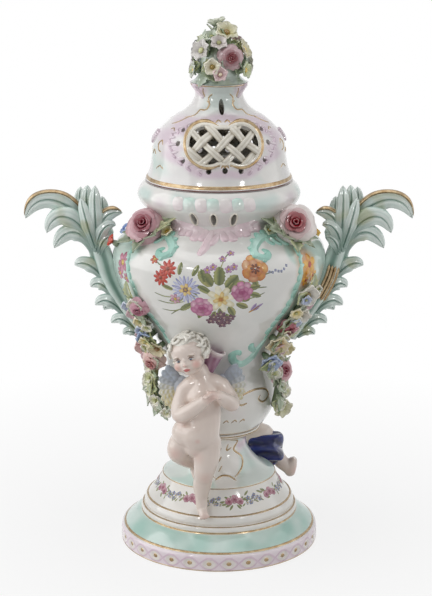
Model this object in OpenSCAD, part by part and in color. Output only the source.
// Covered potpourri vase: a stepped foot with a pedestal, a baluster vessel with two leaf
// handles, a pierced lid with a flower knop, applied flowers and two putti at the pedestal.
// Millimetres. The origin is the middle of the foot ring on the table, +Z is up, the
// decorated front looks along -Y and the handles stand along X.

/* [Foot] */
// Diameter over the beaded rim band
foot_d = 151; // [146:1:156]
// Height of the beaded rim band
rim_h = 13.5; // [12:0.5:15]
// Beads round the rim band
rim_beads = 32; // [28:1:36]
// Diameter of each bead dimple
bead_d = 5; // [4:0.5:6]
// Diameter of the step ring above the green disc
step_d = 119; // [116:1:122]
// Height of the step ring above the table
step_z = 24; // [23:0.5:25]
// Diameter of the floral drum at its bottom edge
drum_d = 108.5; // [106:0.5:111]
// Height of the drum's bottom edge above the table
drum_z = 36; // [35:0.5:37]
// Diameter of the drum at its top edge
drum_top_d = 86; // [83:0.5:89]
// Height of the drum's top edge above the table
drum_top_z = 53; // [51.5:0.5:54.5]
// Narrowest diameter of the pedestal stem
stem_d = 41.5; // [40:0.5:44]
// Height of the stem's narrowest place
stem_z = 79; // [78:0.5:80]
// Diameter of the collar that carries the vessel
collar_d = 62; // [59:0.5:65]
// Height of the foot from the table to the vessel's seat
foot_h = 91; // [90:0.5:93]
// Wall of the foot
foot_wall = 5.5; // [5:0.1:6]
// Thickness of the plate at the top of the pedestal
plate_t = 7; // [6:0.5:8]

/* [Vessel] */
// Height of the vessel from its seat to the lip
vessel_h = 190; // [187:0.5:193]
// Diameter of the vessel's foot edge
seat_d = 60; // [57:0.5:63]
// Diameter of the lower bulb
bulb_d = 87; // [84:0.5:90]
// Height of the bulb's widest place above the seat
bulb_z = 27; // [25:0.5:29]
// Diameter of the waist between bulb and belly
waist_d = 79; // [76:0.5:82]
// Height of the waist above the seat
waist_z = 50; // [48:0.5:52]
// Diameter of the belly
belly_d = 159; // [155:1:163]
// Height of the belly's widest place above the seat
belly_z = 131; // [129:0.5:133]
// Diameter of the neck
neck_d = 101.5; // [99:0.5:104]
// Height of the neck above the seat
neck_z = 163; // [161:0.5:165]
// Diameter of the lip
lip_d = 121; // [118:0.5:124]
// Height of the lip's widest place above the seat
lip_z = 181; // [180:0.5:182]
// Diameter of the mouth
mouth_d = 91; // [88:0.5:92]
// Wall of the vessel
vessel_wall = 4.5; // [4:0.1:5]
// Thickness of the vessel's floor
floor_t = 9; // [7:0.5:10]
// Width of a scent slot in the neck
scent_w = 4; // [3:0.5:5]
// Height of a scent slot in the neck
scent_h = 9; // [8:0.5:10]
// Angle between scent slots
scent_pitch = 15; // [13:0.5:17]
// How far the slot groups stand off the front, to the left
front_turn = 4; // [0:0.5:8]

/* [Lid] */
// Diameter of the lid's rim
lid_d = 108.6; // [107:0.2:110]
// Diameter of the lid's wall at its shoulder
dome_d = 96.6; // [94:0.2:99]
// Height of the shoulder above the lid's rim
dome_z = 30; // [28:0.5:32]
// Diameter of the neck below the flower cup
knop_d = 35.2; // [33:0.2:37]
// Height of that neck above the lid's rim
knop_z = 64; // [62:0.5:66]
// Diameter of the flower cup
cup_d = 43; // [41:0.5:45]
// Height of the lid from its rim to the top of the cup
lid_h = 72.5; // [71:0.5:74]
// Wall of the lid
lid_wall = 4; // [3.5:0.1:4.5]
// Depth of the flange that centres the lid in the mouth
flange_h = 9; // [7:0.5:11]
// Thickness of the flange
flange_t = 4; // [3.5:0.1:4.5]
// Play of the flange in the mouth, on the radius
flange_play = 0.8; // [0.5:0.1:1.2]
// How far the lid stands turned on its seat
lid_turn = 5; // [0:0.5:10]
// Angle between lattice openings in one row
lattice_pitch = 20; // [19:0.5:21]
// Height between lattice rows
lattice_row = 7.4; // [7:0.1:8]
// Side of a lattice opening
lattice_hole = 6.2; // [5.4:0.1:6.6]
// Height of the middle lattice row above the lid's rim
lattice_z = 35.6; // [35:0.1:36.2]
// Half width of the gilt lattice frame
frame_w = 28.5; // [27.5:0.5:29.5]
// Half height of the gilt lattice frame
frame_h = 15.5; // [15:0.1:16]
// Width of the frame's band
frame_band = 2.4; // [2:0.1:3]
// How far the frame stands proud of the lid
frame_rise = 1.2; // [0.8:0.1:1.6]
// Diameter of the small round scent holes
scent_hole = 3.2; // [2.6:0.1:3.8]

/* [Fixing] */
// Diameter of the bolt that holds the vessel on the foot
bolt_d = 8; // [7:0.5:8.5]
// Diameter of the holes for the bolt
bolt_hole_d = 9.5; // [9.2:0.1:10.5]
// Width across flats of the bolt head and the nut
hex_w = 13; // [12:0.5:14]
// Height of the bolt head
head_t = 5.5; // [5:0.5:6.5]
// Height of the nut
nut_t = 6.5; // [6:0.5:7]
// Diameter of the metal washers
washer_d = 22; // [20:0.5:24]
// Thickness of the metal washers
washer_t = 1.8; // [1.5:0.1:2.2]
// Diameter of the leather washers
pad_d = 26; // [24.5:0.5:27]
// Thickness of the leather washers
pad_t = 3; // [2.5:0.1:3.5]

/* [Handles] */
// Reach of the outer leaf tip from the vase's axis
handle_reach = 144; // [140:1:148]
// Height of the upright leaf tips above the vessel's seat
handle_top = 187; // [184:1:190]
// Radius of the handle's stem at its thickest
stem_r = 10.5; // [10:0.1:11]
// Half thickness of a leaf frond, front to back
frond_t = 4.6; // [4.2:0.1:5]

/* [Applied flowers] */
// Diameter of the rose at the left shoulder
rose_left_d = 27; // [25:0.5:29]
// Diameter of the rose at the right shoulder
rose_right_d = 29; // [27:0.5:31]
// Thickness of a petal
petal_t = 1.6; // [1.4:0.1:1.8]
// Radius of the garland stems
vine_r = 3.2; // [2.8:0.1:3.6]
// Diameter of the mound inside the flower knop
mound_d = 31; // [30:0.5:32]
// Height of the flower knop above the lid's cup
knop_h = 46; // [45:0.5:47]

/* [Putti] */
// Height of the standing putto's head centre above the table
head_z = 166; // [164:0.5:168]
// Diameter of a putto's head
head_d = 30; // [29:0.5:31]

/* [Fit] */
// Gap between vessel and foot at their seat
seat_gap = 0.2; // [0.1:0.05:0.3]
// Gap between lid and lip
lid_gap = 0.15; // [0.1:0.05:0.3]
// Slip line between an applied piece and the wall behind it
slip = 0.3; // [0.25:0.05:0.35]
// Seam between the parts of one figure
seam = 0.1; // [0.1:0.05:0.2]

/* [Hidden] */
round_fn = 96;
cutter_fn = 48;
form_fn = 7;
curl_fn = 5;
feather_fn = 4;
porcelain = [0.95, 0.94, 0.92];
celadon = [0.70, 0.84, 0.78];
flesh = [0.96, 0.83, 0.77];
rim_r = foot_d / 2;
step_r = step_d / 2;
drum_r = drum_d / 2;
drum_top_r = drum_top_d / 2;
shaft_r = stem_d / 2;
vessel_z = foot_h + seat_gap;
lip_top = vessel_z + vessel_h;
lid_z = lip_top + lid_gap;
knop_base = lid_z + lid_h;
mouth_r = mouth_d / 2;
dome_r = dome_d / 2;

function blend(a, b, k) = a + (b - a) * k;
function catmull(a, b, c, d, t) =
    0.5 * (2 * b + (c - a) * t + (2 * a - 5 * b + 4 * c - d) * t * t
           + (3 * b - a - 3 * c + d) * t * t * t);
// A smooth line through the points, n steps between each pair
function smooth(p, n) =
    let (e = len(p) - 1)
    concat([for (i = [0:e - 1], j = [0:n - 1])
                catmull(p[max(i - 1, 0)], p[i], p[i + 1], p[min(i + 2, e)], j / n)],
           [p[e]]);
// Points moved square to the line by w, towards the axis for a line that climbs
function inset(p, w) =
    [for (i = [0:len(p) - 1])
        let (d = p[min(i + 1, len(p) - 1)] - p[max(i - 1, 0)])
        p[i] + w / norm(d) * [-d[1], d[0]]];
function radius_at(line, z) = lookup(z, [for (p = line) [p[1], p[0]]]);
// Elevation of the outward normal of a revolved line at height z
function lean_at(line, z) =
    atan2(radius_at(line, z - 0.5) - radius_at(line, z + 0.5), 1);

// Outline of the foot from the table up to the collar
flare = smooth([[drum_top_r - 1.2, drum_top_z + 1.4],
                [blend(shaft_r, drum_top_r, 0.63), blend(drum_top_z, stem_z, 0.20)],
                [blend(shaft_r, drum_top_r, 0.31), blend(drum_top_z, stem_z, 0.46)],
                [blend(shaft_r, drum_top_r, 0.08), blend(drum_top_z, stem_z, 0.75)],
                [shaft_r, stem_z],
                [shaft_r + 1.6, blend(stem_z, foot_h, 0.42)],
                [collar_d / 2 - 2.5, foot_h - 3.6],
                [collar_d / 2, foot_h - 2]], 4);
foot_line = concat(
    [[rim_r - 1.5, 0], [rim_r, 1.5], [rim_r, rim_h - 3], [rim_r - 0.8, rim_h - 1]],
    smooth([[rim_r - 2.6, rim_h], [blend(rim_r, step_r, 0.42), blend(rim_h, step_z, 0.36)],
            [blend(rim_r, step_r, 0.70), blend(rim_h, step_z, 0.70)],
            [step_r + 0.9, step_z - 0.6]], 3),
    [[step_r, step_z], [step_r + 0.6, step_z + 2], [step_r - 0.2, step_z + 4.2],
     [drum_r + 3, step_z + 5], [drum_r + 3.4, step_z + 7.5], [drum_r + 1.8, drum_z - 1],
     [drum_r + 0.3, drum_z], [blend(drum_r, drum_top_r, 0.54), blend(drum_z, drum_top_z, 0.45)],
     [drum_top_r + 0.5, drum_top_z - 1.2], [drum_top_r + 0.5, drum_top_z]],
    flare, [[collar_d / 2, foot_h]]);
foot_hollow = concat(
    [[0, -1], [rim_r - 6, -1], [rim_r - 6.5, rim_h - 6], [step_r - 3, step_z - 5],
     [drum_r - 4, drum_z - 5], [drum_top_r - 6, drum_top_z - 5]],
    [for (p = flare) if (p[1] < stem_z) [p[0] - foot_wall, p[1] - 2.5]],
    [[shaft_r - foot_wall, stem_z], [shaft_r - foot_wall, foot_h - plate_t],
     [0, foot_h - plate_t]]);

// Outline of the vessel from its seat to the lip, heights above the seat
vessel_line = smooth(
    [[seat_d / 2, 0], [blend(seat_d, bulb_d, 0.42) / 2, bulb_z * 0.20],
     [blend(seat_d, bulb_d, 0.86) / 2, bulb_z * 0.60], [bulb_d / 2, bulb_z],
     [blend(waist_d, bulb_d, 0.66) / 2, blend(bulb_z, waist_z, 0.56)],
     [waist_d / 2, waist_z],
     [blend(waist_d, belly_d, 0.11) / 2, blend(waist_z, belly_z, 0.16)],
     [blend(waist_d, belly_d, 0.45) / 2, blend(waist_z, belly_z, 0.45)],
     [blend(waist_d, belly_d, 0.85) / 2, blend(waist_z, belly_z, 0.73)],
     [belly_d / 2, belly_z],
     [blend(neck_d, belly_d, 0.87) / 2, blend(belly_z, neck_z, 0.42)],
     [blend(neck_d, belly_d, 0.40) / 2, blend(belly_z, neck_z, 0.71)],
     [neck_d / 2, neck_z],
     [blend(neck_d, lip_d, 0.30) / 2, blend(neck_z, lip_z, 0.36)],
     [blend(neck_d, lip_d, 0.82) / 2, blend(neck_z, lip_z, 0.70)],
     [lip_d / 2, lip_z], [lip_d / 2 - 2, blend(lip_z, vessel_h, 0.55)],
     [lid_d / 2 + 0.4, vessel_h]], 3);
vessel_hollow = concat(
    [[0, floor_t], [blend(seat_d, bulb_d, 0.5) / 2 - vessel_wall, floor_t]],
    [for (p = inset(vessel_line, vessel_wall)) if (p[1] > floor_t + 3 && p[1] < neck_z) p],
    [[mouth_r, neck_z], [mouth_r, vessel_h + 1], [0, vessel_h + 1]]);

// Outline of the lid, heights above its rim
lid_line = smooth(
    [[lid_d / 2 - 0.6, 0], [lid_d / 2, 1.6], [lid_d / 2 - 1.4, 4.5],
     [blend(dome_r, lid_d / 2, 0.42), 11], [blend(dome_r, lid_d / 2, 0.18), 20],
     [dome_r, dome_z],
     [blend(knop_d / 2, dome_r, 0.88), blend(dome_z, knop_z, 0.19)],
     [blend(knop_d / 2, dome_r, 0.71), blend(dome_z, knop_z, 0.36)],
     [blend(knop_d / 2, dome_r, 0.50), blend(dome_z, knop_z, 0.52)],
     [blend(knop_d / 2, dome_r, 0.27), blend(dome_z, knop_z, 0.64)],
     [blend(knop_d / 2, dome_r, 0.09), blend(dome_z, knop_z, 0.80)],
     [knop_d / 2, knop_z], [blend(knop_d, cup_d, 0.5) / 2, blend(knop_z, lid_h, 0.65)],
     [cup_d / 2, lid_h]], 3);
lid_hollow = concat(
    [[0, -flange_h - 1], [mouth_r - flange_play - flange_t, -flange_h - 1],
     [mouth_r - flange_play - flange_t, 6]],
    [for (p = inset(lid_line, lid_wall)) if (p[1] > 11 && p[1] < knop_z - 8) p],
    [[0, knop_z - 6]]);

// Children stand on a revolved wall at angle a and height z, their +Z square to it
module on_wall(line, a, z, lift = 0) {
    rotate([0, 0, a])
        translate([radius_at(line, z), 0, z])
            rotate([0, 90 - lean_at(line, z), 0])
                translate([0, 0, lift])
                    children();
}

// The vessel and the foot as plain bodies, grown by g, for cutting seats
module vessel_body(g) {
    translate([0, 0, vessel_z])
        rotate_extrude($fn = cutter_fn)
            polygon(concat([[0, -g]], [for (p = inset(vessel_line, -g)) [max(p[0], 0.1), p[1]]],
                           [[0, vessel_h + g]]));
}

module foot_body(g) {
    rotate_extrude($fn = cutter_fn)
        polygon(concat([[0, -g]], [for (p = inset(foot_line, -g)) p], [[0, foot_h + g]]));
}

module slot(w, h, t) {
    for (s = [-1, 1])
        translate([s * (h - w) / 2, 0, 0])
            cylinder(d = w, h = t, center = true, $fn = 24);
    cube([h - w, w, t], center = true);
}

module foot() {
    color(porcelain)
        difference() {
            rotate_extrude($fn = round_fn)
                polygon(concat([[0, 0]], foot_line, [[0, foot_h]]));
            rotate_extrude($fn = round_fn)
                polygon(foot_hollow);
            for (i = [0:rim_beads - 1])
                rotate([0, 0, (i + 0.5) * 360 / rim_beads])
                    translate([rim_r + bead_d * 0.32, 0, rim_h * 0.45])
                        sphere(d = bead_d, $fn = 24);
            cylinder(d = bolt_hole_d, h = foot_h + 1, $fn = 32);
        }
}

module vessel() {
    color(porcelain)
        translate([0, 0, vessel_z])
            difference() {
                rotate_extrude($fn = round_fn)
                    polygon(concat([[0, 0]], vessel_line, [[0, vessel_h]]));
                rotate_extrude($fn = round_fn)
                    polygon(vessel_hollow);
                translate([0, 0, -1])
                    cylinder(d = bolt_hole_d, h = floor_t + 2, $fn = 32);
                for (side = [-90, 90], k = [-1:1])
                    rotate([0, 0, side - front_turn + k * scent_pitch])
                        translate([neck_d / 2, 0, blend(neck_z, lip_z, 0.50)])
                            rotate([0, 90, 0])
                                slot(scent_w, scent_h, 30);
            }
}

// The bolt's head lies on washers on the vessel's floor
module fixing_bolt() {
    head_bottom = vessel_z + floor_t + pad_t + washer_t;
    bolt_end = foot_h - plate_t - pad_t - washer_t - nut_t - 3;
    color("silver")
        union() {
            translate([0, 0, head_bottom])
                cylinder(d = hex_w / cos(30), h = head_t, $fn = 6);
            translate([0, 0, bolt_end])
                cylinder(d = bolt_d, h = head_bottom - bolt_end + 1, $fn = 32);
        }
}

module washer(d, t, hole) {
    difference() {
        cylinder(d = d, h = t, $fn = 48);
        translate([0, 0, -1])
            cylinder(d = hole, h = t + 2, $fn = 32);
    }
}

module bolt_pad() {
    color("tan")
        translate([0, 0, vessel_z + floor_t])
            washer(pad_d, pad_t, bolt_hole_d);
}

module bolt_washer() {
    color("silver")
        translate([0, 0, vessel_z + floor_t + pad_t])
            washer(washer_d, washer_t, bolt_hole_d);
}

module nut_pad() {
    color("tan")
        translate([0, 0, foot_h - plate_t - pad_t])
            washer(pad_d, pad_t, bolt_hole_d);
}

module nut_washer() {
    color("silver")
        translate([0, 0, foot_h - plate_t - pad_t - washer_t])
            washer(washer_d, washer_t, bolt_hole_d);
}

module fixing_nut() {
    color("silver")
        translate([0, 0, foot_h - plate_t - pad_t - washer_t - nut_t])
            difference() {
                cylinder(d = hex_w / cos(30), h = nut_t, $fn = 6);
                translate([0, 0, -1])
                    cylinder(d = bolt_d + 0.4, h = nut_t + 2, $fn = 32);
            }
}

// A leaf frond: a tapered oval tube along a cubic curve p[0] to p[3], [x, y, z] points,
// w wide and thick by its half thickness t
function bezier(p, t) =
    pow(1 - t, 3) * p[0] + 3 * t * pow(1 - t, 2) * p[1]
    + 3 * t * t * (1 - t) * p[2] + t * t * t * p[3];
function slope(p, t) =
    3 * pow(1 - t, 2) * (p[1] - p[0]) + 6 * t * (1 - t) * (p[2] - p[1])
    + 3 * t * t * (p[3] - p[2]);
module frond(p, w, steps = 5, t = frond_t) {
    sides = 6;
    rings = [for (i = [0:steps])
        let (u = i / steps, d = slope(p, u), across = [d[2], 0, -d[0]] / norm([d[0], d[2]]),
             k = blend(0.75, 1, sin(150 * u)) * (1 - 0.78 * pow(u, 4)))
        [for (j = [0:sides - 1])
            bezier(p, u) + across * w * k * cos(j * 360 / sides)
            + [0, t * k * sin(j * 360 / sides), 0]]];
    polyhedron(
        points = [for (r = rings, q = r) q],
        faces = concat(
            [[for (j = [0:sides - 1]) j]],
            [for (i = [0:steps - 1], j = [0:sides - 1], h = [0, 1])
                let (a = i * sides + j, b = i * sides + (j + 1) % sides)
                h == 0 ? [a, b + sides, b] : [a, a + sides, b + sides]],
            [[for (j = [0:sides - 1]) (steps + 1) * sides - 1 - j]]));
}

// A chain of rounded lengths through points p with radii r, grown by g
module chain(p, r, g = 0, fn = form_fn) {
    for (i = [0:len(p) - 2])
        hull() {
            translate(p[i])
                sphere(r = r[i] + g, $fn = fn);
            translate(p[i + 1])
                sphere(r = r[i + 1] + g, $fn = fn);
        }
}

// The right handle's stem, luted to the belly, and the leaves on its outer side, grown by g
module handle_stem(g = 0) {
    w = belly_d / 2;
    z = vessel_z;
    stem = smooth([[w - 25, 0, z + 64], [w - 5, 0, z + 93], [w + 6, 0, z + 115],
                   [w + 12.5, 0, z + 137], [w + 15.5, 0, z + 147]], 2);
    girth = smooth([[stem_r * 0.62, 0], [stem_r, 0], [stem_r * 0.90, 0], [stem_r * 0.74, 0],
                    [stem_r * 0.62, 0]], 2);
    chain(stem, [for (r = girth) r[0]], g);
    frond([[w + 8, 0, z + 115], [w + 16, 0, z + 124], [w + 22, 0, z + 129],
           [w + 28, 0, z + 126]], 4.6 + g, 5, frond_t + g);
    frond([[w + 3, 0, z + 103], [w + 10, 0, z + 110], [w + 14, 0, z + 112],
           [w + 16, 0, z + 108]], 4 + g, 4, frond_t + g);
    frond([[w - 4, 0, z + 89], [w + 5, 0, z + 97], [w + 9, 0, z + 99],
           [w + 13, 0, z + 94]], 4.4 + g, 4, frond_t + g);
}

// The right handle: its stem and a plume of fronds above it
module handle_form() {
    w = belly_d / 2;
    z = vessel_z;
    t = handle_top + vessel_z;
    o = handle_reach;
    handle_stem();
    // big outer scroll, then the two under it
    frond([[w + 14, 0, z + 138], [w + 20, 0, z + 171], [o - 6, 0, t + 4], [o, 0, t - 26]], 6.2);
    for (s = [-1, 1])
        frond([[w + 14, s * 4, z + 140], [w + 23, s * 7, z + 166], [o - 20, s * 9, t - 16],
               [o - 17, s * 8, t - 35]], 4.8);
    frond([[w + 12, 0, z + 131], [w + 20, 0, z + 155], [o - 29, 0, t - 31],
           [o - 20, 0, t - 47]], 4.8);
    // upright fronds
    frond([[w + 14, 0, z + 138], [w + 19, 0, z + 160], [w + 20, 0, t - 14],
           [w + 18, 0, t - 1]], 5.2);
    frond([[w + 13, -4, z + 138], [w + 12, -8, z + 158], [w + 13, -9, t - 16],
           [w + 12.5, -7, t]], 4.8);
    frond([[w + 15, 5, z + 138], [w + 22, 8, z + 158], [w + 26, 10, t - 17],
           [w + 24, 9, t - 4]], 4.8);
    frond([[w + 12, 4, z + 138], [w + 7, 8, z + 154], [w + 7, 9, t - 22],
           [w + 9, 8, t - 12]], 4.4);
    // inner fronds that lean over the shoulder
    frond([[w + 12, -2, z + 134], [w + 9, -4, z + 156], [w + 3, -5, t - 20],
           [w - 7, -4, t - 19]], 4.8);
    frond([[w + 11, 3, z + 130], [w + 7, 5, z + 145], [w + 4, 6, z + 151],
           [w + 1, 6, z + 153]], 4.2, 4);
}

module handle_right() {
    color(celadon)
        difference() {
            handle_form();
            vessel_body(slip);
        }
}

module handle_left() {
    color(celadon)
        mirror([1, 0, 0])
            difference() {
                handle_form();
                vessel_body(slip);
            }
}

// A lobed dish of petals, r wide at the foot, h high, opening by flare
module dish(r, h, petals, flare) {
    linear_extrude(height = h, scale = flare)
        polygon([for (k = [0:3 * petals - 1])
            let (q = k % 3 == 0 ? r * 0.56 : r,
                 a = (k % 3 == 0 ? k : k + 0.5 - (k % 3) / 3) * 120 / petals)
            [q * cos(a), q * sin(a)]]);
}

// A stalk of diameter d from s below the flower to h above it
module stalk(d, s, h) {
    hull() {
        translate([0, 0, -s])
            cylinder(d = d, h = 0.5, $fn = 5);
        translate([0, 0, h - 0.5])
            cylinder(d = d * 0.7, h = 0.5, $fn = 5);
    }
}

// An open flower of diameter d: a lobed dish with an eye, its stalk going s deep
module blossom(d, s, petals = 5) {
    dish(d * 0.38, d * 0.18, petals, 1.3);
    stalk(d * 0.34, s, d * 0.28);
}

// A rose of diameter d: three cups of petals one in another, its stalk going s deep
module rose(d, s) {
    dish(d * 0.34, d * 0.20, 5, 1.45);
    rotate(25)
        dish(d * 0.27, d * 0.32, 4, 1.3);
    rotate(70)
        dish(d * 0.18, d * 0.42, 3, 1.15);
    stalk(d * 0.5, s, d * 0.12);
}

// A pointed leaf of length l and width w, folded along its rib, growing along +X
module leaf(l, w) {
    for (s = [-1, 1])
        hull() {
            cylinder(d = w * 0.24, h = petal_t, $fn = 4);
            translate([l * 0.45, s * w * 0.42, w * 0.16])
                cylinder(d = w * 0.16, h = petal_t * 0.8, $fn = 4);
            translate([l * 0.94, 0, l * 0.10])
                cylinder(d = w * 0.14, h = petal_t * 0.8, $fn = 4);
        }
}

// A rose on the shoulder at angle a and height z above the seat
module shoulder_rose(a, z, d) {
    color([0.93, 0.72, 0.76])
        difference() {
            translate([0, 0, vessel_z])
                on_wall(vessel_line, a, z, d * 0.32)
                    rose(d, d * 0.6);
            vessel_body(slip);
        }
}

// Leaves round a shoulder rose, cleared for the rose
module shoulder_leaves(a, z, d, turns, lengths) {
    color([0.45, 0.55, 0.30])
        difference() {
            translate([0, 0, vessel_z])
                on_wall(vessel_line, a, z, 0)
                    for (k = [0:len(turns) - 1])
                        rotate([0, 0, turns[k]])
                            translate([d * 0.12, 0, 0])
                                rotate([0, -28, 0])
                                    leaf(lengths[k], lengths[k] * 0.55);
            vessel_body(slip);
            translate([0, 0, vessel_z])
                on_wall(vessel_line, a, z, d * 0.32)
                    rose(d + 0.6, d * 0.6 + 1);
        }
}

rose_z = 154;
rose_angle = 34;
module rose_left() {
    shoulder_rose(180 + rose_angle, rose_z, rose_left_d);
}

module rose_right() {
    shoulder_rose(-rose_angle, rose_z, rose_right_d);
}

module rose_left_leaves() {
    shoulder_leaves(180 + rose_angle, rose_z, rose_left_d, [75, 170, 200, 290, 20],
                    [21, 20, 18, 19, 20]);
}

module rose_right_leaves() {
    shoulder_leaves(-rose_angle, rose_z, rose_right_d, [-75, 160, 200, 70, 0],
                    [24, 20, 18, 19, 19]);
}

// A garland: a stem along stations [angle, height above the seat, lift off the wall],
// with flowers [station, diameter, petals, turn] and leaves [station, length, turn]
module garland_form(stations, flowers, leaves) {
    path = [for (s = stations)
        let (r = radius_at(vessel_line, s[1]) + s[2])
        [r * cos(s[0]), r * sin(s[0]), vessel_z + s[1]]];
    chain(path, [for (s = stations) vine_r], 0, 5);
    for (f = flowers) {
        s = catmull(stations[max(floor(f[0]) - 1, 0)], stations[floor(f[0])],
                    stations[floor(f[0]) + 1],
                    stations[min(floor(f[0]) + 2, len(stations) - 1)], f[0] - floor(f[0]));
        r = radius_at(vessel_line, s[1]) + s[2];
        translate([r * cos(s[0] + f[3]), r * sin(s[0] + f[3]), vessel_z + s[1]])
            rotate([0, 0, s[0] + f[3] * 2])
                rotate([0, 80, 0])
                    translate([0, 0, 4])
                        blossom(f[1], 6, f[2]);
    }
    for (f = leaves) {
        s = catmull(stations[max(floor(f[0]) - 1, 0)], stations[floor(f[0])],
                    stations[floor(f[0]) + 1],
                    stations[min(floor(f[0]) + 2, len(stations) - 1)], f[0] - floor(f[0]));
        r = radius_at(vessel_line, s[1]) + s[2];
        translate([r * cos(s[0]), r * sin(s[0]), vessel_z + s[1]])
            rotate([0, 0, s[0]])
                rotate([0, 90, 0])
                    rotate([0, 0, f[2]])
                        rotate([0, -35, 0])
                            leaf(f[1], f[1] * 0.6);
    }
}

module garland_left() {
    color([0.75, 0.78, 0.58])
        difference() {
            garland_form(
                [[217, 106, 2], [212, 92, 2.5], [205, 78, 5], [198, 64, 9], [194, 50, 11],
                 [194, 34, 7], [198, 18, 2]],
                [[0.2, 13, 5, 2], [1.6, 13, 5, -4], [2.4, 14, 6, 4], [3.0, 17, 5, -5],
                 [3.5, 15, 6, 6], [4.4, 14, 5, -4]],
                [[0.6, 15, 60], [1.1, 16, -60], [4.0, 17, 60], [4.6, 18, -40], [5.4, 17, 20]]);
            vessel_body(slip);
            mirror([1, 0, 0])
                handle_stem(slip);
        }
}

module garland_right() {
    color([0.85, 0.80, 0.75])
        difference() {
            garland_form(
                [[-35, 112, 2], [-34, 98, 2], [-33, 84, 3], [-30, 70, 6], [-27, 56, 8],
                 [-25, 40, 6], [-25, 18, 2]],
                [[0.3, 15, 6, 2], [1.0, 14, 5, -4], [1.7, 14, 5, 4], [2.3, 14, 6, -4],
                 [3.2, 15, 5, 3], [4.6, 18, 6, 2], [5.7, 13, 5, 4]],
                [[0.7, 15, -60], [1.4, 16, 60], [2.6, 16, -60], [3.6, 18, 70], [5.2, 17, 40]]);
            vessel_body(slip);
            handle_stem(slip);
        }
}

// The standing putto leans back on the bulb and stands on the step ring
back = bulb_d / 2;
px = -15;
py = -back - 16;
function around(p) = [px + p[0], py + p[1], head_z + p[2]];

module torso_form(g) {
    chain(smooth([around([1, 1, -18]), around([0, 1, -28]), around([0, 0, -40]),
                  around([0, -1, -52]), around([-1, -1, -62]), around([-1, 1, -71])], 2),
          [for (r = smooth([[6.5, 0], [11.5, 0], [12.6, 0], [12.8, 0], [13.8, 0], [12.2, 0]], 2))
              r[0]], g);
    for (s = [-1, 1])
        chain([around([s * 6, 2, -27]), around([s * 12.5, 2.5, -26])], [9, 6.5], g);
}

module putto_torso() {
    color(flesh)
        difference() {
            torso_form(0);
            vessel_body(slip);
            foot_body(slip);
        }
}

// Head, cheeks and a cap of curls
module head_form(g) {
    r = head_d / 2;
    chain(smooth([around([-5, 1, 4]), around([-6, -1, 0]), around([-7, -3, -6])], 3),
          [for (k = smooth([[0.92, 0], [0.94, 0], [0.72, 0]], 3)) r * k[0]], g);
    for (k = [0:5])
        hull() {
            translate(around([-5, 3, 5]))
                sphere(r = r * 0.6 + g, $fn = curl_fn);
            translate(around([-5 + r * 0.72 * cos(k * 60), 3 + r * 0.55 * sin(k * 60), 8]))
                sphere(r = r * 0.36 + g, $fn = curl_fn);
        }
}

module putto_head() {
    color(flesh)
        difference() {
            head_form(0);
            torso_form(seam);
            vessel_body(slip);
        }
}

// Arms folded so that the hands meet on the chest
module arm_left_form(g) {
    chain(smooth([around([-13, 2, -26]), around([-18, -1, -37]), around([-17, -8, -45]),
                  around([-5, -16, -37]), around([6, -18, -31])], 2),
          [for (r = smooth([[6, 0], [5.8, 0], [5.2, 0], [4.8, 0], [3.8, 0]], 2)) r[0]], g);
}

module arm_right_form(g) {
    chain(smooth([around([14, 2, -25]), around([23, 0, -32]), around([26, -6, -38]),
                  around([18, -14, -33]), around([10, -17, -30])], 2),
          [for (r = smooth([[6, 0], [5.8, 0], [5.2, 0], [4.6, 0], [3.8, 0]], 2)) r[0]], g);
}

module putto_arm_left() {
    color(flesh)
        difference() {
            arm_left_form(0);
            torso_form(seam);
            head_form(seam);
        }
}

module putto_arm_right() {
    color(flesh)
        difference() {
            arm_right_form(0);
            torso_form(seam);
            arm_left_form(seam);
            head_form(seam);
            vessel_body(slip);
        }
}

// The right leg stands, the left is drawn up and back
module leg_right_form(g) {
    foot_y = -drum_r - 4;
    chain(smooth([around([6, 0, -72]), [px + 7, blend(py, foot_y, 0.3), 81],
                  [px + 7, blend(py, foot_y, 0.5), 70], [px + 5, blend(py, foot_y, 0.75), 56],
                  [px + 5, foot_y, 45], [px + 8, foot_y - 4, drum_z + 4.5],
                  [px + 10, foot_y - 9, drum_z + 4]], 2),
          [for (r = smooth([[10.5, 0], [9.5, 0], [7.8, 0], [7, 0], [4.6, 0], [4.4, 0], [3.4, 0]], 2))
              r[0]], g);
}

module leg_left_form(g) {
    chain(smooth([around([-7, 0, -71]), around([-13, -8, -74]), around([-14.5, -14, -78]),
                  around([-10, -6, -87]), around([-5, 6, -95]), around([-1, 5, -101])], 2),
          [for (r = smooth([[10.5, 0], [9.2, 0], [7.4, 0], [6.4, 0], [4.4, 0], [3.6, 0]], 2))
              r[0]], g);
}

module putto_leg_right() {
    color(flesh)
        difference() {
            leg_right_form(0);
            torso_form(seam);
            foot_body(slip);
            vessel_body(slip);
        }
}

module putto_leg_left() {
    color(flesh)
        difference() {
            leg_left_form(0);
            torso_form(seam);
            leg_right_form(seam);
            foot_body(slip);
            vessel_body(slip);
        }
}

// A wing: a fan of feathers from its root, spread along x by s
module wing_form(root, s, g) {
    for (k = [0:7])
        hull() {
            translate(root)
                sphere(r = 3.2 + g, $fn = feather_fn);
            translate(root + [s * (11 + 5 * sin(20 * k)), 1, 17 - 6.2 * k])
                sphere(r = 2.4 + g, $fn = feather_fn);
        }
}
wing_left_root = around([-11, 9, -28]);
wing_right_root = around([14, 10, -27]);

module putto_wing_left() {
    color([0.70, 0.74, 0.78])
        difference() {
            wing_form(wing_left_root, -1, 0);
            torso_form(seam);
            arm_left_form(seam);
            head_form(seam);
            vessel_body(slip);
        }
}

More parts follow.
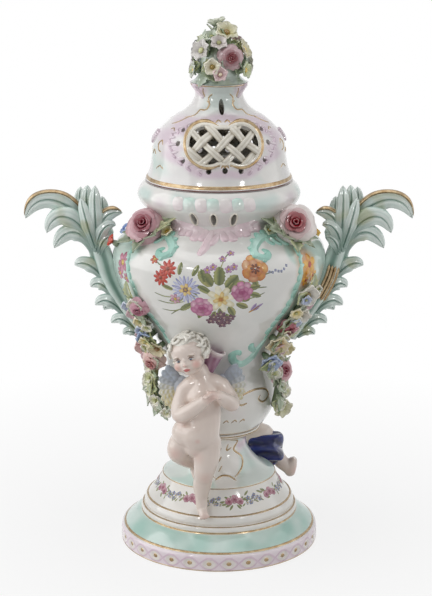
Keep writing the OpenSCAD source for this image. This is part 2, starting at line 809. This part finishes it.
module putto_wing_right() {
    color([0.70, 0.74, 0.78])
        difference() {
            wing_form(wing_right_root, 1, 0);
            torso_form(seam);
            arm_right_form(seam);
            head_form(seam);
            vessel_body(slip);
        }
}

module putto_quiver() {
    color([0.62, 0.38, 0.55])
        difference() {
            chain(smooth([around([3, 8, -24]), around([8, 9, -14]), around([12, 10, -4])], 5),
                  [for (r = smooth([[4.6, 0], [5.6, 0], [6.6, 0]], 5)) r[0]]);
            torso_form(seam);
            head_form(seam);
            wing_form(wing_right_root, 1, seam);
            arm_right_form(seam);
            vessel_body(slip);
        }
}

// The rear putto sits on the drum behind the pedestal, legs to the right
rx = 8;
ry = drum_top_r + 5;
rz = drum_top_z + 11;
function behind(p) = [rx + p[0], ry + p[1], rz + p[2]];

module rear_torso_form(g) {
    chain(smooth([behind([2, -2, -2]), behind([1, 2, 12]), behind([0, 7, 26]),
                  behind([-2, 10, 38]), behind([-3, 11, 48])], 2),
          [for (r = smooth([[13.8, 0], [13.2, 0], [12.4, 0], [11, 0], [6, 0]], 2)) r[0]], g);
    for (s = [-1, 1])
        chain([behind([s * 6 - 2, 10, 37]), behind([s * 12.5 - 2, 10, 37])], [8.5, 6.2], g);
}

module rear_head_form(g) {
    r = head_d / 2;
    chain(smooth([behind([-4, 12, 66]), behind([-4, 13, 62]), behind([-4, 15, 56])], 3),
          [for (k = smooth([[0.92, 0], [0.94, 0], [0.72, 0]], 3)) r * k[0]], g);
    for (k = [0:5])
        hull() {
            translate(behind([-4, 11, 67]))
                sphere(r = r * 0.6 + g, $fn = curl_fn);
            translate(behind([-4 + r * 0.7 * cos(k * 60), 10 + r * 0.55 * sin(k * 60), 70]))
                sphere(r = r * 0.36 + g, $fn = curl_fn);
        }
}

module rear_torso() {
    color(flesh)
        difference() {
            rear_torso_form(0);
            vessel_body(slip);
            foot_body(slip);
        }
}

module rear_head() {
    color(flesh)
        difference() {
            rear_head_form(0);
            rear_torso_form(seam);
            vessel_body(slip);
        }
}

// Right arm resting on the cloth, left arm across the lap
module rear_arm_right_form(g) {
    chain(smooth([behind([11, 9, 37]), behind([18, 10, 28]), behind([22, 10, 19]),
                  behind([28, 6, 14]), behind([34, 3, 12])], 2),
          [for (r = smooth([[6, 0], [5.6, 0], [5, 0], [4.6, 0], [3.8, 0]], 2)) r[0]], g);
}

module rear_arm_left_form(g) {
    chain(smooth([behind([-15, 9, 37]), behind([-21, 12, 27]), behind([-21, 17, 17]),
                  behind([-13, 21, 10]), behind([-5, 22, 8])], 2),
          [for (r = smooth([[6, 0], [5.6, 0], [5, 0], [4.6, 0], [3.8, 0]], 2)) r[0]], g);
}

module rear_leg_right_form(g) {
    chain(smooth([behind([8, 0, -5]), behind([24, -3, -6]), behind([37, -7, -9]),
                  behind([42, -9, -20]), behind([47, -10, -29]), behind([53, -10, -33])], 2),
          [for (r = smooth([[10.5, 0], [9.4, 0], [8, 0], [6.6, 0], [4.6, 0], [3.4, 0]], 2))
              r[0]], g);
}

module rear_leg_left_form(g) {
    chain(smooth([behind([4, 8, -5]), behind([12, 19, -3]), behind([16, 25, -9]),
                  behind([14, 18, -22]), behind([12, 14, -30]), behind([16, 16, -35])], 2),
          [for (r = smooth([[10.5, 0], [9.2, 0], [8, 0], [6.6, 0], [4.6, 0], [3.4, 0]], 2))
              r[0]], g);
}

// A cloth over the right thigh
module rear_drape_form(g) {
    for (k = [0:7])
        hull() {
            translate(behind([10 + 3.9 * k, -0.9 * k + 1, 9 - 0.6 * k]))
                sphere(r = 5 + g, $fn = feather_fn);
            translate(behind([11 + 3.9 * k, 9 - 1.6 * k, -9 + 2 * (k % 2)]))
                sphere(r = 5.4 + g, $fn = feather_fn);
        }
}

module rear_leg_right() {
    color(flesh)
        difference() {
            rear_leg_right_form(0);
            rear_torso_form(seam);
            foot_body(slip);
        }
}

module rear_leg_left() {
    color(flesh)
        difference() {
            rear_leg_left_form(0);
            rear_torso_form(seam);
            rear_leg_right_form(seam);
            foot_body(slip);
        }
}

module rear_drape() {
    color([0.12, 0.20, 0.55])
        difference() {
            rear_drape_form(0);
            rear_torso_form(seam);
            rear_leg_right_form(seam);
            rear_leg_left_form(seam);
            foot_body(slip);
        }
}

module rear_arm_right() {
    color(flesh)
        difference() {
            rear_arm_right_form(0);
            rear_torso_form(seam);
            rear_drape_form(seam);
            rear_leg_right_form(seam);
            vessel_body(slip);
        }
}

module rear_arm_left() {
    color(flesh)
        difference() {
            rear_arm_left_form(0);
            rear_torso_form(seam);
            rear_leg_left_form(seam);
            vessel_body(slip);
        }
}

module rear_wing(s) {
    color([0.70, 0.74, 0.78])
        difference() {
            wing_form(behind([s * 10 - 2, 1, 34]), s, 0);
            rear_torso_form(seam);
            rear_head_form(seam);
            rear_arm_left_form(seam);
            rear_arm_right_form(seam);
            rear_drape_form(seam);
            vessel_body(slip);
        }
}

module rear_wing_left() {
    rear_wing(-1);
}

module rear_wing_right() {
    rear_wing(1);
}

// Flat outline of the lattice cartouche: two lobes side by side
module cartouche(inner) {
    lobe = frame_h - inner;
    for (s = [-1, 1])
        translate([s * (frame_w - frame_h), 0])
            circle(r = lobe, $fn = 48);
    square([2 * (frame_w - frame_h), 1.7 * lobe], center = true);
}

// Lattice openings and scent holes of one face of the lid
module lid_piercings() {
    for (row = [-1:1], k = [-1.5:0.5:1.5])
        if ((row == 0) == (abs(k) % 1 == 0.5))
            on_wall(lid_line, -90 + k * lattice_pitch, lattice_z + row * lattice_row)
                linear_extrude(height = 6 * lid_wall, center = true)
                    rotate(45)
                        square(lattice_hole, center = true);
    for (s = [-1, 1], h = [[45, 42], [44, 33], [37, 21.5], [13.5, 15]])
        on_wall(lid_line, -90 + s * h[0], h[1])
            cylinder(d = scent_hole, h = 6 * lid_wall, center = true, $fn = 24);
    on_wall(lid_line, -90, 15.5)
        cylinder(d = scent_hole, h = 6 * lid_wall, center = true, $fn = 24);
    on_wall(lid_line, -90, blend(dome_z, knop_z, 0.78))
        slot(scent_hole, 10, 5 * lid_wall);
}

module lid_frame() {
    intersection() {
        rotate_extrude($fn = round_fn)
            difference() {
                polygon(concat([[0, 0]], inset(lid_line, -frame_rise), [[0, lid_h]]));
                polygon(concat([[0, -1]], inset(lid_line, 1), [[0, lid_h + 1]]));
            }
        translate([0, 0, lattice_z - 3])
            rotate([90, 0, 0])
                linear_extrude(height = lid_d)
                    difference() {
                        cartouche(0);
                        cartouche(frame_band);
                    }
    }
}

module lid() {
    color(porcelain)
        translate([0, 0, lid_z])
            rotate([0, 0, lid_turn])
                difference() {
                    union() {
                        rotate_extrude($fn = round_fn)
                            polygon(concat([[0, 0]], lid_line, [[0, lid_h]]));
                        translate([0, 0, -flange_h])
                            cylinder(r = mouth_r - flange_play, h = flange_h + 3, $fn = round_fn);
                        for (face = [0, 180])
                            rotate([0, 0, face])
                                lid_frame();
                    }
                    rotate_extrude($fn = round_fn)
                        polygon(lid_hollow);
                    for (face = [0, 180])
                        rotate([0, 0, face])
                            lid_piercings();
                }
}

// The mound that carries the knop's flowers, its foot flat on the cup
mound_line = smooth([[cup_d / 2 - 1, 0], [mound_d / 2, 5], [mound_d / 2 - 1.5, 13],
                     [mound_d / 2 - 3.5, 21], [mound_d / 2 - 8, 28], [3, 31]], 3);
module mound_body(g) {
    translate([0, 0, knop_base])
        rotate_extrude($fn = 48)
            polygon(concat([[0, g > 0 ? -g : lid_gap]],
                           [for (p = inset(mound_line, -g)) [p[0], max(p[1], lid_gap - g)]],
                           [[0, 31 + g]]));
}

module knop_mound() {
    color(celadon)
        mound_body(0);
}

module knop_rose() {
    color([0.75, 0.42, 0.52])
        difference() {
            translate([0, 0, knop_base])
                on_wall(mound_line, -62, 17, 3)
                    rose(20, 8);
            mound_body(slip / 2);
        }
}

// Flowers on the mound: [angle, height, diameter, petals]
knop_flowers = [[-130, 19, 18, 6], [-95, 8, 16, 5], [-15, 12, 17, 5], [25, 22, 18, 6],
                [55, 9, 18, 5], [90, 20, 18, 5], [125, 9, 18, 6], [165, 20, 18, 5],
                [205, 9, 17, 5]];
module knop_blossom_form(g) {
    for (f = knop_flowers)
        translate([0, 0, knop_base])
            on_wall(mound_line, f[0], f[1], 5)
                blossom(f[2] + g, 8, f[3]);
    translate([3, -2, knop_base + knop_h - 7])
        rotate([12, 10, 0])
            blossom(22 + g, 14, 6);
}

module knop_blossoms() {
    color([0.95, 0.90, 0.70])
        difference() {
            knop_blossom_form(0);
            mound_body(slip / 2);
            translate([0, 0, knop_base])
                on_wall(mound_line, -62, 17, 3)
                    rose(20.6, 9);
        }
}

module knop_leaves() {
    color([0.45, 0.58, 0.35])
        difference() {
            for (k = [0:5])
                translate([0, 0, knop_base])
                    on_wall(mound_line, 60 * k + 10, 24 - 16 * (k % 2))
                        rotate([0, 0, 180 + 20 * (k % 3)])
                            rotate([0, -40, 0])
                                leaf(17, 10);
            mound_body(slip / 2);
            knop_blossom_form(0.3);
            translate([0, 0, knop_base])
                on_wall(mound_line, -62, 17, 3)
                    rose(20.6, 9);
        }
}

foot();
vessel();
fixing_bolt();
bolt_washer();
bolt_pad();
nut_pad();
nut_washer();
fixing_nut();
handle_left();
handle_right();
rose_left();
rose_left_leaves();
rose_right();
rose_right_leaves();
garland_left();
garland_right();
putto_torso();
putto_head();
putto_arm_left();
putto_arm_right();
putto_leg_left();
putto_leg_right();
putto_wing_left();
putto_wing_right();
putto_quiver();
rear_torso();
rear_head();
rear_arm_left();
rear_arm_right();
rear_leg_left();
rear_leg_right();
rear_drape();
rear_wing_left();
rear_wing_right();
lid();
knop_mound();
knop_rose();
knop_blossoms();
knop_leaves();
